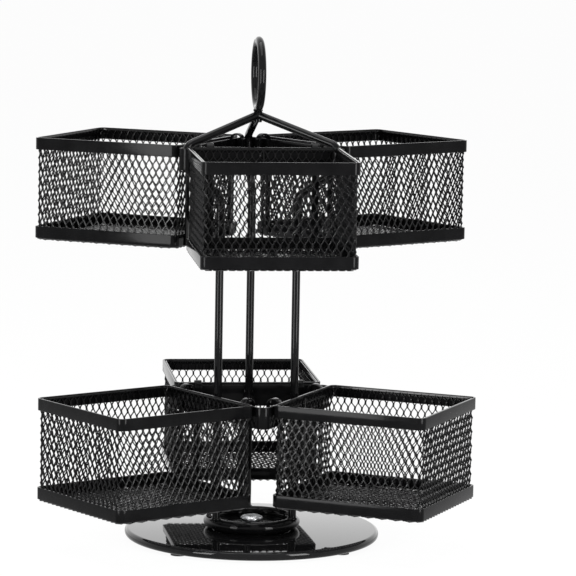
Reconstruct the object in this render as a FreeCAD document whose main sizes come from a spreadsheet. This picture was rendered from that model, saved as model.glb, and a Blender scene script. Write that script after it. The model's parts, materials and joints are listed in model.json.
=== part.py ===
"""Rotating tool caddy with six lift-off mesh baskets, as a parametric document.

All lengths are millimetres. +Z is up, the turning axis is Z and the feet stand on z = 0.
A basket, a band and an upright are each drawn once, for the front of the caddy (the -Y
side), and their copies are turned about Z.
"""
import FreeCAD
import Part
import Sketcher
import os
from math import cos, pi, radians, sin, sqrt

doc = FreeCAD.newDocument("tool_caddy")

# Driving dimensions, each set once here
DRIVING = {
    # Base: a pressed steel pan with a rolled edge, standing on pads
    "base_diameter": 150.0,
    "base_height": 5.0,
    "base_sheet": 1.2,
    "base_lip": 11.0,
    "foot_diameter": 9.0,
    "foot_height": 1.5,
    # Pivot: screw, bush, washers and thin nut
    "pivot_diameter": 6.0,
    "bush_wall": 1.2,
    "head_diameter": 13.0,
    "head_height": 3.4,
    "head_crown": 1.7,
    "recess_width": 1.8,
    "recess_length": 6.4,
    "recess_depth": 1.9,
    "washer_diameter": 12.0,
    "washer_thickness": 0.8,
    "nut_width": 10.0,
    "nut_height": 3.0,
    "screw_end": 0.6,
    "thrust_diameter": 36.0,
    "thrust_thickness": 2.1,
    "running_gap": 0.1,
    "fit_gap": 0.05,
    # Turntable dish: a floor inside a thick rolled ring
    "dish_floor": 1.2,
    "dish_ring": 7.2,
    "dish_ring_inset": 1.0,
    "dish_clearance": 0.5,
    # Bent-wire frame and its two triangular strip bands
    "wire_diameter": 4.7,
    "wire_bend": 6.0,
    "band_inradius": 29.8,
    "band_height": 12.7,
    "band_thickness": 1.5,
    "band_corner": 5.0,
    "lower_band_top": 86.9,
    "upper_band_top": 233.4,
    "bend_start_drop": 29.0,
    "bend_end_drop": 12.0,
    "crown_rise": 1.2,
    "apex_rise": 17.1,
    "bead_wall": 0.5,
    "bead_height": 8.0,
    "handle_diameter": 44.0,
    "handle_stem": 4.4,
    # Baskets
    "basket_width": 88.0,
    "basket_depth": 93.0,
    "basket_height": 60.0,
    "basket_corner": 4.2,
    "rim_height": 7.0,
    "rim_thickness": 1.2,
    "rim_rise": 1.2,
    "mesh_thickness": 0.8,
    "floor_thickness": 0.9,
    "floor_inset": 0.4,
    "mesh_strand": 3.2,
    "mesh_margin": 1.6,
    # Hooked straps
    "strap_width": 4.2,
    "strap_thickness": 1.0,
    "strap_spacing": 61.0,
    "hook_radius": 3.4,
    "hook_leg": 13.0,
    "hook_clear": 0.25,
    "hook_seat": 0.15,
}

# Values worked out from the driving dimensions, in the order they need each other
DERIVED = {
    "base_radius": "base_diameter / 2",
    "base_round": "base_height / 2",
    "base_core": "base_radius - base_round",
    "base_hollow": "base_round - base_sheet",
    "base_cavity": "base_height - 2 * base_sheet",
    "base_mid": "foot_height + base_round",
    "base_inside": "foot_height + base_sheet",
    "base_top": "foot_height + base_height",
    "base_ceiling": "base_top - base_sheet",
    "base_opening": "base_core - base_lip",
    "foot_radius": "foot_diameter / 2",
    "foot_ring": "base_core - base_lip / 2",
    "wire_radius": "wire_diameter / 2",
    "band_inner": "band_inradius - band_thickness",
    "band_inner_corner": "band_corner - band_thickness",
    "upright_radius": "band_inner - wire_radius",
    "corner_centre": "2 * (band_inradius - band_corner)",
    "corner_wire": "corner_centre + band_inner_corner - wire_radius",
    "ring_radius": "dish_ring / 2",
    "ring_centre": "upright_radius - dish_ring_inset",
    "ring_level": "base_top + dish_clearance + ring_radius",
    "thrust_radius": "thrust_diameter / 2",
    "thrust_top": "base_top + thrust_thickness",
    "dish_bottom": "thrust_top + running_gap",
    "dish_top": "dish_bottom + dish_floor",
    "pivot_radius": "pivot_diameter / 2",
    "bush_top": "dish_top + running_gap",
    "bush_height": "bush_top - base_top",
    "bush_radius": "pivot_radius + bush_wall",
    "bush_bore": "bush_radius + fit_gap",
    "washer_radius": "washer_diameter / 2",
    "head_radius": "head_diameter / 2",
    "head_bottom": "bush_top + washer_thickness",
    "head_top": "head_bottom + head_height",
    "crown_radius": "(head_radius ^ 2 + head_crown ^ 2) / (2 * head_crown)",
    "nut_bottom": "base_ceiling - nut_height",
    "screw_bottom": "nut_bottom - screw_end",
    "screw_length": "head_bottom - screw_bottom",
    "bend_start": "upper_band_top - bend_start_drop",
    "bend_end": "upper_band_top - bend_end_drop",
    "crown_level": "upper_band_top + crown_rise",
    "apex_height": "upper_band_top + apex_rise",
    "lower_band_bottom": "lower_band_top - band_height",
    "upper_band_bottom": "upper_band_top - band_height",
    "bead_radius": "wire_radius + bead_wall",
    "bead_bottom": "apex_height - bead_height / 2",
    "handle_radius": "handle_diameter / 2 - wire_radius",
    "handle_level": "apex_height + handle_stem + handle_radius",
    "stem_height": "handle_level - handle_radius - bead_bottom",
    "strap_face": "band_inradius + hook_clear",
    "rim_face": "strap_face + strap_thickness",
    "hook_centre": "strap_face - hook_radius",
    "hook_touch": "sqrt(hook_radius ^ 2 - (hook_radius - hook_clear) ^ 2)",
    "hook_drop": "hook_touch - hook_seat",
    "basket_drop": "basket_height - rim_rise",
    "strap_drop": "basket_drop - floor_thickness",
    "rim_drop": "rim_height - rim_rise",
    "mesh_face": "rim_face + rim_thickness",
    "mesh_width": "basket_width - 2 * rim_thickness",
    "mesh_depth": "basket_depth - 2 * rim_thickness",
    "mesh_corner": "basket_corner - rim_thickness",
    "mesh_top": "rim_rise - floor_inset",
    "floor_face": "rim_face + floor_inset",
    "floor_width": "basket_width - 2 * floor_inset",
    "floor_depth": "basket_depth - 2 * floor_inset",
}

# Counts: diamonds across a panel, rows of diamonds on a wall and on the floor, pads under the base
MESH_COLUMNS = 4
WALL_ROWS = 3
FLOOR_ROWS = 5
FEET = 4

# What stands round the axis; a heading in degrees turns the front towards +X
UPRIGHTS = {"upright_left": -60, "upright_right": 60, "upright_back": 180}
LOWER_BASKETS = {"lower_left": -60, "lower_right": 60, "lower_back": 180}
UPPER_BASKETS = {"upper_front": 0, "upper_right": 120, "upper_left": -120}
LOWER_BAND_HEADING = 60

sheet = doc.addObject("Spreadsheet::Sheet", "Sizes")
for row, (alias, value) in enumerate(DRIVING.items(), start=1):
    sheet.set(f"A{row}", alias)
    sheet.set(f"B{row}", str(value))
    sheet.setAlias(f"B{row}", alias)
for row, (alias, formula) in enumerate(DERIVED.items(), start=len(DRIVING) + 2):
    sheet.set(f"A{row}", alias)
    sheet.set(f"B{row}", "=" + formula)
    sheet.setAlias(f"B{row}", alias)
doc.recompute()

UP = FreeCAD.Vector(0, 0, 1)
OUTWARD = FreeCAD.Vector(0, -1, 0)
ACROSS = FreeCAD.Vector(1, 0, 0)
ORIGIN = (-1, 1)
nodes = []


def size(alias):
    """Give a cell of the sheet as a plain number."""
    return float(sheet.get(alias))


def cell(alias):
    """Give the formula that reads one cell."""
    return "Sizes." + alias


def bind(obj, **formulas):
    """Tie properties of an object to formulas; a double underscore in a name stands for a dot."""
    for name, formula in formulas.items():
        obj.setExpression(name.replace("__", "."), formula)
    return obj


def node(obj, label, heading=0.0, level=None):
    """Name an object as a sub-part, turn it about the axis and raise it to a level of the sheet."""
    obj.Label = label
    obj.Placement = FreeCAD.Placement(FreeCAD.Vector(), FreeCAD.Rotation(UP, heading))
    if level:
        bind(obj, Placement__Base__z=cell(level))
    nodes.append(obj)
    return obj


def primitive(kind, name, level=None, body=None, **aliases):
    """Make a primitive solid, alone or as a feature of a body, with its base at a level."""
    if body:
        solid = body.newObject("PartDesign::" + kind, name)
    else:
        solid = doc.addObject("Part::" + kind, name)
    bind(solid, **{key: cell(alias) for key, alias in aliases.items()})
    if level:
        bind(solid, Placement__Base__z=cell(level))
    return solid


def combine(kind, name, base, tool):
    """Cut, fuse or intersect two solids."""
    result = doc.addObject("Part::" + kind, name)
    result.Base = base
    result.Tool = tool
    return result


def tube(name, outer, inner, height, level):
    """Make a plain round tube or washer."""
    blank = primitive("Cylinder", name + "_blank", level, Radius=outer, Height=height)
    bore = primitive("Cylinder", name + "_bore", level, Radius=inner, Height=height)
    return combine("Cut", name, blank, bore)


def new_sketch(body, name, role, level=None):
    """Start a sketch on one of a body's own origin planes, moved along the plane's normal."""
    sketch = body.newObject("Sketcher::SketchObject", name)
    plane = next(item for item in body.Origin.OriginFeatures if item.Role == role)
    sketch.AttachmentSupport = [(plane, "")]
    sketch.MapMode = "FlatFace"
    if level:
        bind(sketch, AttachmentOffset__Base__z=level)
    return sketch


def limit(sketch, kind, *places, value, formula):
    """Add a dimension to a sketch and tie it to a formula."""
    index = sketch.addConstraint(Sketcher.Constraint(kind, *places, value))
    sketch.setExpression(f"Constraints[{index}]", formula)


def relate(sketch, kind, *places):
    """Add a geometric constraint to a sketch."""
    sketch.addConstraint(Sketcher.Constraint(kind, *places))


def keep_on_axis(sketch, geometry, point):
    """Keep a point of a sketch on the upright axis, which sketches number -2."""
    relate(sketch, "PointOnObject", geometry, point, -2)


def line(sketch, start, end):
    """Draw a line in a sketch."""
    return sketch.addGeometry(Part.LineSegment(FreeCAD.Vector(*start, 0), FreeCAD.Vector(*end, 0)))


def arc(sketch, centre, radius, first, last):
    """Draw an arc in a sketch, anticlockwise between two angles in degrees."""
    circle = Part.Circle(FreeCAD.Vector(*centre, 0), UP, radius)
    return sketch.addGeometry(Part.ArcOfCircle(circle, radians(first), radians(last)))


def rounded_rectangle(sketch, width, depth, corner, near):
    """Draw a rounded rectangle centred on the Y axis, its near side a distance below the X axis."""
    across, along, bend, gap = size(width), size(depth), size(corner), size(near)
    left, right, top, bottom = -across / 2, across / 2, -gap, -gap - along
    sides = [
        line(sketch, (left + bend, bottom), (right - bend, bottom)),
        line(sketch, (right, bottom + bend), (right, top - bend)),
        line(sketch, (right - bend, top), (left + bend, top)),
        line(sketch, (left, top - bend), (left, bottom + bend)),
    ]
    corners = [
        arc(sketch, (right - bend, bottom + bend), bend, -90, 0),
        arc(sketch, (right - bend, top - bend), bend, 0, 90),
        arc(sketch, (left + bend, top - bend), bend, 90, 180),
        arc(sketch, (left + bend, bottom + bend), bend, 180, 270),
    ]
    for step in range(4):
        relate(sketch, "Tangent", sides[step], 2, corners[step], 1)
        relate(sketch, "Tangent", corners[step], 2, sides[(step + 1) % 4], 1)
        relate(sketch, "Vertical" if step % 2 else "Horizontal", sides[step])
    for other in corners[1:]:
        relate(sketch, "Equal", corners[0], other)
    limit(sketch, "DistanceX", *ORIGIN, sides[1], 1, value=right, formula=cell(width) + " / 2")
    limit(sketch, "Radius", corners[0], value=bend, formula=cell(corner))
    limit(sketch, "DistanceX", sides[3], 1, sides[1], 1, value=across, formula=cell(width))
    limit(sketch, "DistanceY", sides[0], 1, sides[2], 1, value=along, formula=cell(depth))
    limit(sketch, "DistanceY", sides[2], 1, *ORIGIN, value=gap, formula=cell(near))


def rounded_triangle(sketch, inradius, corner):
    """Draw an equal-sided triangle round the origin, one face square to -Y, with round corners."""
    reach, bend = size(inradius), size(corner)
    half = sqrt(3) * (reach - bend)
    faces = []
    corners = []
    for step in range(3):
        turn = radians(120 * step)
        ends = []
        for along in (-half, half):
            ends.append((along * cos(turn) + reach * sin(turn), along * sin(turn) - reach * cos(turn)))
        faces.append(line(sketch, *ends))
        swing = turn + pi / 3
        centre = (2 * (reach - bend) * sin(swing), -2 * (reach - bend) * cos(swing))
        corners.append(arc(sketch, centre, bend, 120 * step - 90, 120 * step + 30))
    for step in range(3):
        relate(sketch, "Tangent", faces[step], 2, corners[step], 1)
        relate(sketch, "Tangent", corners[step], 2, faces[(step + 1) % 3], 1)
        limit(sketch, "Distance", *ORIGIN, faces[step], value=reach, formula=cell(inradius))
    relate(sketch, "Horizontal", faces[0])
    relate(sketch, "Equal", corners[0], corners[1])
    relate(sketch, "Equal", corners[0], corners[2])
    relate(sketch, "Equal", faces[0], faces[1])
    limit(sketch, "Radius", corners[0], value=bend, formula=cell(corner))


def pad(body, sketch, height, name):
    """Raise a sketch of a body to a height of the sheet."""
    feature = body.newObject("PartDesign::Pad", name)
    feature.Profile = sketch
    bind(feature, Length=cell(height))
    return feature


def make_base():
    """Make the base pan, the pads under it and the fixed pieces of the pivot."""
    pan = doc.addObject("PartDesign::Body", "pan")
    primitive("AdditiveCylinder", "pan_disc", "foot_height", pan, Radius="base_core", Height="base_height")
    primitive("AdditiveTorus", "pan_edge", "base_mid", pan, Radius1="base_core", Radius2="base_round")
    primitive("SubtractiveCylinder", "pan_cavity", "base_inside", pan,
              Radius="base_core", Height="base_cavity")
    primitive("SubtractiveTorus", "pan_roll", "base_mid", pan, Radius1="base_core", Radius2="base_hollow")
    primitive("SubtractiveCylinder", "pan_opening", "foot_height", pan,
              Radius="base_opening", Height="base_sheet")
    primitive("SubtractiveCylinder", "pan_hole", "foot_height", pan,
              Radius="pivot_radius", Height="base_height")
    node(pan, "base_pan")

    pads = []
    for step in range(FEET):
        turn = 2 * pi * (step + 0.5) / FEET
        foot = primitive("Cylinder", "foot", Radius="foot_radius", Height="foot_height")
        bind(foot, Placement__Base__x=f"{cos(turn)} * Sizes.foot_ring",
             Placement__Base__y=f"{sin(turn)} * Sizes.foot_ring")
        pads.append(foot)
    feet = doc.addObject("Part::Compound", "feet")
    feet.Links = pads
    node(feet, "base_feet")

    node(tube("thrust", "thrust_radius", "bush_bore", "thrust_thickness", "base_top"), "thrust_washer")
    node(tube("bush", "bush_radius", "pivot_radius", "bush_height", "base_top"), "pivot_bush")
    node(tube("washer", "washer_radius", "pivot_radius", "washer_thickness", "bush_top"), "head_washer")

    hexagon = primitive("Prism", "hexagon", "nut_bottom", Height="nut_height")
    hexagon.Polygon = 6
    bind(hexagon, Circumradius=f"Sizes.nut_width / {2 * cos(pi / 6)}")
    hole = primitive("Cylinder", "nut_hole", "nut_bottom", Radius="pivot_radius", Height="nut_height")
    node(combine("Cut", "nut", hexagon, hole), "lock_nut")
    make_screw()


def make_screw():
    """Make the pan-head pivot screw with its cross recess."""
    shank = primitive("Cylinder", "shank", "screw_bottom", Radius="pivot_radius", Height="screw_length")
    blank = primitive("Cylinder", "head_blank", "head_bottom", Radius="head_radius", Height="head_height")
    crown = primitive("Sphere", "head_ball", Radius="crown_radius")
    bind(crown, Placement__Base__z="Sizes.head_top - Sizes.crown_radius")
    screw = combine("Fuse", "screw_blank", combine("Common", "head", blank, crown), shank)
    for step, axes in enumerate((("Length", "Width"), ("Width", "Length"))):
        slot = doc.addObject("Part::Box", f"recess_{step}")
        bind(slot, **{axes[0]: cell("recess_length"), axes[1]: cell("recess_width")},
             Height=cell("recess_depth"),
             Placement__Base__x=f"-{slot.Name}.Length / 2",
             Placement__Base__y=f"-{slot.Name}.Width / 2",
             Placement__Base__z="Sizes.head_top - Sizes.recess_depth")
        screw = combine("Cut", f"screw_cut_{step}", screw, slot)
    node(screw, "pivot_screw")


def make_dish():
    """Make the turntable dish that the uprights stand on."""
    dish = doc.addObject("PartDesign::Body", "dish")
    primitive("AdditiveCylinder", "dish_floor_disc", "dish_bottom", dish,
              Radius="ring_centre", Height="dish_floor")
    primitive("AdditiveTorus", "dish_ring_roll", "ring_level", dish,
              Radius1="ring_centre", Radius2="ring_radius")
    primitive("SubtractiveCylinder", "dish_bore", "dish_bottom", dish,
              Radius="bush_bore", Height="dish_floor")
    node(dish, "turntable_dish")


def make_band(label, bottom, heading):
    """Make one triangular strip band."""
    band = doc.addObject("PartDesign::Body", label)
    outline = new_sketch(band, label + "_outline", "XY_Plane")
    rounded_triangle(outline, "band_inradius", "band_corner")
    rounded_triangle(outline, "band_inner", "band_inner_corner")
    pad(band, outline, "band_height", label + "_strip")
    node(band, label, heading, bottom)


def make_upright(label, heading):
    """Make one bent wire: up from the dish, out to a corner of the upper band and in to the apex."""
    wire = doc.addObject("PartDesign::Body", label)
    route = new_sketch(wire, label + "_route", "XZ_Plane")
    foot, corner = size("upright_radius"), size("corner_wire")
    bends = [(foot, size("bend_start")), (corner, size("bend_end")), (corner, size("crown_level"))]
    points = [(foot, size("ring_level")), *bends, (0.0, size("apex_height"))]
    legs, arcs = bent_line(route, points, size("wire_bend"))
    relate(route, "Vertical", legs[0])
    relate(route, "Vertical", legs[2])
    for bend in arcs:
        limit(route, "Radius", bend, value=size("wire_bend"), formula=cell("wire_bend"))
    limit(route, "DistanceX", *ORIGIN, legs[0], 1, value=foot, formula=cell("upright_radius"))
    limit(route, "DistanceY", *ORIGIN, legs[0], 1, value=points[0][1], formula=cell("ring_level"))
    limit(route, "DistanceX", *ORIGIN, legs[2], 1, value=corner, formula=cell("corner_wire"))
    keep_on_axis(route, legs[3], 2)
    limit(route, "DistanceY", *ORIGIN, legs[3], 2, value=points[4][1], formula=cell("apex_height"))
    turns = [
        ("upright_radius", "bend_start", 1),
        ("corner_wire", "bend_end", 1),
        ("corner_wire", "crown_level", 3),
    ]
    for reach, level, leg in turns:
        mark = route.addGeometry(Part.Point(FreeCAD.Vector(size(reach), size(level), 0)), True)
        limit(route, "DistanceX", *ORIGIN, mark, 1, value=size(reach), formula=cell(reach))
        limit(route, "DistanceY", *ORIGIN, mark, 1, value=size(level), formula=cell(level))
        relate(route, "PointOnObject", mark, 1, legs[leg])

    section = new_sketch(wire, label + "_section", "XY_Plane", cell("ring_level"))
    circle = section.addGeometry(Part.Circle(FreeCAD.Vector(foot, 0, 0), UP, size("wire_radius")))
    relate(section, "PointOnObject", circle, 3, -1)
    limit(section, "DistanceX", *ORIGIN, circle, 3, value=foot, formula=cell("upright_radius"))
    limit(section, "Radius", circle, value=size("wire_radius"), formula=cell("wire_radius"))
    sweep = wire.newObject("PartDesign::AdditivePipe", label + "_sweep")
    sweep.Profile = section
    sweep.Spine = route
    primitive("SubtractiveTorus", label + "_cope", "ring_level", wire,
              Radius1="ring_centre", Radius2="ring_radius")
    primitive("SubtractiveCylinder", label + "_mitre", "bead_bottom", wire,
              Radius="bead_radius", Height="bead_height")
    node(wire, label, heading - 90)


def bent_line(sketch, points, bend):
    """Draw straight legs through points, with tangent arcs of one radius at the inner points."""
    steps = [FreeCAD.Vector(b[0] - a[0], b[1] - a[1], 0) for a, b in zip(points, points[1:])]
    trims = [0.0]
    for first, second in zip(steps, steps[1:]):
        trims.append(bend * abs(sin(first.getAngle(second) / 2) / cos(first.getAngle(second) / 2)))
    trims.append(0.0)
    legs = []
    for index, step in enumerate(steps):
        way = FreeCAD.Vector(step).normalize()
        start = FreeCAD.Vector(*points[index], 0) + way * trims[index]
        end = FreeCAD.Vector(*points[index + 1], 0) - way * trims[index + 1]
        legs.append(sketch.addGeometry(Part.LineSegment(start, end)))
    arcs = []
    for index in range(len(steps) - 1):
        before, after = sketch.Geometry[legs[index]], sketch.Geometry[legs[index + 1]]
        turn = steps[index].cross(steps[index + 1]).z
        side = UP.cross(FreeCAD.Vector(steps[index]).normalize()) * (1 if turn > 0 else -1)
        centre = before.EndPoint + side * bend
        ends = [before.EndPoint - centre, after.StartPoint - centre]
        if turn < 0:
            ends.reverse()
        first, last = (ACROSS.getAngle(end) if end.y >= 0 else -ACROSS.getAngle(end) for end in ends)
        if last < first:
            last += 2 * pi
        arcs.append(sketch.addGeometry(Part.ArcOfCircle(Part.Circle(centre, UP, bend), first, last)))
        leading, trailing = (1, 2) if turn > 0 else (2, 1)
        relate(sketch, "Tangent", legs[index], 2, arcs[-1], leading)
        relate(sketch, "Tangent", arcs[-1], trailing, legs[index + 1], 1)
    return legs, arcs


def make_handle():
    """Make the round lifting ring with its stem and the weld bead that joins the three wires."""
    grip = primitive("Torus", "grip", "handle_level", Radius1="handle_radius", Radius2="wire_radius")
    grip.Placement.Rotation = FreeCAD.Rotation(FreeCAD.Vector(0, 1, 0), 90)
    stem = primitive("Cylinder", "stem", "bead_bottom", Radius="wire_radius", Height="stem_height")
    bead = primitive("Cylinder", "bead", "bead_bottom", Radius="bead_radius", Height="bead_height")
    node(combine("Fuse", "handle", grip, combine("Fuse", "stalk", stem, bead)), "handle_ring")


def make_rim(label, level):
    """Make one strip rim of a basket, with its top at a level above or below the band's top."""
    rim = doc.addObject("PartDesign::Body", label)
    outline = new_sketch(rim, label + "_outline", "XY_Plane", level)
    rounded_rectangle(outline, "basket_width", "basket_depth", "basket_corner", "rim_face")
    rounded_rectangle(outline, "mesh_width", "mesh_depth", "mesh_corner", "mesh_face")
    pad(rim, outline, "rim_height", label + "_strip")
    return rim


def make_strap():
    """Make one strap with its hook, drawn from the side with the hook opening downwards."""
    strap = doc.addObject("PartDesign::Body", "strap")
    profile = new_sketch(strap, "strap_profile", "YZ_Plane")
    inner, outer = size("hook_radius"), size("hook_radius") + size("strap_thickness")
    centre = (-size("hook_centre"), -size("hook_drop"))
    low, tip = -size("strap_drop"), centre[1] - size("hook_leg")
    front, face = centre[0] - outer, centre[0] - inner
    back, rear = centre[0] + inner, centre[0] + outer
    sides = [
        line(profile, (front, centre[1]), (front, low)),
        line(profile, (front, low), (face, low)),
        line(profile, (face, low), (face, centre[1])),
        line(profile, (back, centre[1]), (back, tip)),
        line(profile, (back, tip), (rear, tip)),
        line(profile, (rear, tip), (rear, centre[1])),
    ]
    inside = arc(profile, centre, inner, 0, 180)
    outside = arc(profile, centre, outer, 0, 180)
    for side in (0, 2, 3, 5):
        relate(profile, "Vertical", sides[side])
    for side in (1, 4):
        relate(profile, "Horizontal", sides[side])
        relate(profile, "Coincident", sides[side - 1], 2, sides[side], 1)
        relate(profile, "Coincident", sides[side], 2, sides[side + 1], 1)
    relate(profile, "Coincident", inside, 3, outside, 3)
    relate(profile, "Tangent", sides[2], 2, inside, 2)
    relate(profile, "Tangent", sides[3], 1, inside, 1)
    relate(profile, "Tangent", sides[5], 2, outside, 1)
    relate(profile, "Tangent", sides[0], 1, outside, 2)
    limit(profile, "Radius", inside, value=inner, formula=cell("hook_radius"))
    limit(profile, "DistanceX", sides[1], 1, sides[1], 2,
          value=outer - inner, formula=cell("strap_thickness"))
    limit(profile, "DistanceX", inside, 3, *ORIGIN, value=-centre[0], formula=cell("hook_centre"))
    limit(profile, "DistanceY", inside, 3, *ORIGIN, value=-centre[1], formula=cell("hook_drop"))
    limit(profile, "DistanceY", sides[1], 1, *ORIGIN, value=-low, formula=cell("strap_drop"))
    limit(profile, "DistanceY", sides[4], 1, inside, 3, value=size("hook_leg"), formula=cell("hook_leg"))
    strip = pad(strap, profile, "strap_width", "strap_strip")
    strip.Midplane = True
    return strap


def diamond(centre, across, up, half_across, half_up):
    """Give one closed diamond outline."""
    tips = [centre + across * half_across, centre + up * half_up,
            centre - across * half_across, centre - up * half_up]
    return Part.makePolygon(tips + tips[:1])


def diamond_rows(middle, across, up, span, rise, rows):
    """Give the staggered diamonds that fill a span and a rise round a middle point."""
    pitch = span / MESH_COLUMNS
    climb = 2 * rise / (rows + 1)
    slope = sqrt(pitch ** 2 + climb ** 2)
    half_across = (pitch - size("mesh_strand") * slope / climb) / 2
    half_up = half_across * climb / pitch
    outlines = []
    for row in range(rows):
        count = MESH_COLUMNS - row % 2
        height = (row - (rows - 1) / 2) * climb / 2
        for column in range(count):
            place = middle + across * ((column - (count - 1) / 2) * pitch) + up * height
            outlines.append(diamond(place, across, up, half_across, half_up))
    return outlines


def net(corner, across, up, span, rise, thickness, holes):
    """Give a flat sheet with holes, thickened along a vector."""
    edge = [corner, corner + across * span, corner + across * span + up * rise, corner + up * rise]
    face = Part.makeFace([Part.makePolygon(edge + edge[:1]), *holes], "Part::FaceMakerBullseye")
    return face.extrude(thickness)


def wall_panel(turn, middle_reach, flat):
    """Give one mesh wall with the rounded corner at its end, turned about the basket's middle."""
    bend, sheet_metal = size("mesh_corner"), size("mesh_thickness")
    low, high = -size("strap_drop"), size("mesh_top")
    start = FreeCAD.Vector(-flat / 2, -middle_reach, low)
    window_low, window_high = low + size("rim_height"), -size("rim_drop")
    margin = size("mesh_margin")
    middle = FreeCAD.Vector(0, -middle_reach, (window_low + window_high) / 2)
    holes = diamond_rows(middle, ACROSS, UP, flat, window_high - window_low - 2 * margin, WALL_ROWS)
    flat_part = net(start, ACROSS, UP, flat, high - low, FreeCAD.Vector(0, sheet_metal, 0), holes)
    hinge = FreeCAD.Vector(flat / 2, -middle_reach + bend, low)
    outer = Part.makeCylinder(bend, high - low, hinge, UP, 90)
    inner = Part.makeCylinder(bend - sheet_metal, high - low, hinge, UP, 90)
    corner = outer.cut(inner)
    corner.rotate(hinge, UP, -90)
    panel = flat_part.fuse(corner).removeSplitter()
    panel.rotate(FreeCAD.Vector(), UP, turn)
    return panel


def make_nets():
    """Make the mesh walls and the mesh floor of one basket."""
    bend = size("mesh_corner")
    wide, deep = size("mesh_width"), size("mesh_depth")
    panels = []
    for quarter in range(4):
        reach, flat = (deep, wide) if quarter % 2 == 0 else (wide, deep)
        panels.append(wall_panel(90 * quarter, reach / 2, flat - 2 * bend))
    walls = doc.addObject("Part::Feature", "mesh_walls")
    walls.Shape = Part.makeCompound(panels)
    middle = size("rim_face") + size("basket_depth") / 2
    walls.Placement.Base = OUTWARD * middle

    across, along = size("floor_width"), size("floor_depth")
    low = -size("basket_drop")
    corner = FreeCAD.Vector(-across / 2, -size("floor_face") - along, low)
    window = along - 2 * (size("rim_thickness") + size("mesh_margin"))
    span = across - 2 * (size("rim_thickness") + size("mesh_margin"))
    centre = OUTWARD * middle + UP * low
    holes = diamond_rows(centre, ACROSS, -OUTWARD, span, window, FLOOR_ROWS)
    plate = net(corner, ACROSS, -OUTWARD, across, along, UP * size("floor_thickness"), holes)
    upright_edges = [edge for edge in plate.Edges if edge.BoundBox.ZLength > 0
                     and abs(abs(edge.CenterOfMass.x) - across / 2) < 1e-6]
    floor = doc.addObject("Part::Feature", "mesh_floor")
    floor.Shape = plate.makeFillet(size("basket_corner") - size("floor_inset"), upright_edges)
    return walls, floor


def make_baskets():
    """Make one basket piece by piece and hang a copy of it on every face of the bands."""
    walls, floor = make_nets()
    strap = make_strap()
    straps = []
    for side in (-1, 1):
        copy = doc.addObject("Part::Compound", "strap_copy")
        copy.Links = [strap]
        bind(copy, Placement__Base__x=f"{side} * Sizes.strap_spacing / 2")
        straps.append(copy)
    pieces = {
        "mesh_walls": [walls],
        "mesh_floor": [floor],
        "top_rim": [make_rim("rim_upper", "-Sizes.rim_drop")],
        "bottom_rim": [make_rim("rim_lower", "-Sizes.strap_drop")],
        "hook_straps": straps,
    }
    for headings, level in ((LOWER_BASKETS, "lower_band_top"), (UPPER_BASKETS, "upper_band_top")):
        for basket, heading in headings.items():
            for piece, sources in pieces.items():
                copy = doc.addObject("Part::Compound", f"{basket}_{piece}")
                copy.Links = sources
                node(copy, f"{basket}_{piece}", heading, level)


def check_document():
    """Stop if any object failed or any sub-part has no sound solid."""
    for obj in doc.Objects:
        if "Invalid" in obj.State or "Error" in obj.State:
            raise RuntimeError(f"{obj.Label} failed: {obj.State}")
    for obj in nodes:
        shape = obj.Shape
        if shape.isNull() or not shape.isValid() or not shape.Solids:
            raise RuntimeError(f"{obj.Label} has no sound solid")


make_base()
make_dish()
for name, heading in UPRIGHTS.items():
    make_upright(name, heading)
make_band("lower_band", "lower_band_bottom", LOWER_BAND_HEADING)
make_band("upper_band", "upper_band_bottom", 0)
make_handle()
make_baskets()
doc.recompute()
check_document()

os.makedirs("parts", exist_ok=True)
for sub_part in nodes:
    sub_part.Shape.exportStep(f"parts/{sub_part.Label}.step")
    print(f"{sub_part.Label}: {len(sub_part.Shape.Solids)} solids, {sub_part.Shape.Volume:.1f} mm3")
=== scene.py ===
"""Looks of a rotating tool caddy: gloss black wire frame, mesh baskets and a turntable base.

All lengths are metres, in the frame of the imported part: +Z is up along the turning axis and
-Y is the front. Pieces are drawn once for the front of the caddy and copied round the axis.
"""

import json
import logging
from collections.abc import Callable, Iterable
from dataclasses import dataclass, field
from enum import Enum
from math import cos, pi, radians, sin, tan
from typing import ClassVar

import bmesh
import bpy
from mathutils import Matrix, Vector

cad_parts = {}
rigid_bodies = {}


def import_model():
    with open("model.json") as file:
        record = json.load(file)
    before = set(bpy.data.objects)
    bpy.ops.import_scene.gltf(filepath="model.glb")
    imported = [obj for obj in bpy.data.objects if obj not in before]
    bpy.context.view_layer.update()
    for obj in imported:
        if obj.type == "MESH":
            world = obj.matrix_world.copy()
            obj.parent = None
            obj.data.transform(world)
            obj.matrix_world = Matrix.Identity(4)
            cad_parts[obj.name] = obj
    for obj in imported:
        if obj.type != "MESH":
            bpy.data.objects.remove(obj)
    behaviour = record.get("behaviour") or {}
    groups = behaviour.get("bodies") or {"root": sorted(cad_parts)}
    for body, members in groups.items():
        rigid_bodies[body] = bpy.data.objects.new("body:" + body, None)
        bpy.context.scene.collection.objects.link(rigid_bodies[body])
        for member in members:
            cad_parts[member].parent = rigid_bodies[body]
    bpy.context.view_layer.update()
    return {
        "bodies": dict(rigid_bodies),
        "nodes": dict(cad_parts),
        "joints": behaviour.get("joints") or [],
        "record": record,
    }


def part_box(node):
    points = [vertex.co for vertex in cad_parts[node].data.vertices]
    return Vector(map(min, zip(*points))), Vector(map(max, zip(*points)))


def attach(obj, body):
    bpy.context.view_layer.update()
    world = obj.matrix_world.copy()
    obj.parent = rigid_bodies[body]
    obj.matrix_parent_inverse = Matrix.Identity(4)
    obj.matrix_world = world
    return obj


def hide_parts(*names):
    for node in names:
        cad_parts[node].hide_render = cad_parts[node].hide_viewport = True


Piece = bpy.types.Object
Node = bpy.types.Node
Socket = bpy.types.NodeSocket

LOG = logging.getLogger("tool_caddy")
UP = Vector((0.0, 0.0, 1.0))
MM = 0.001


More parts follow.
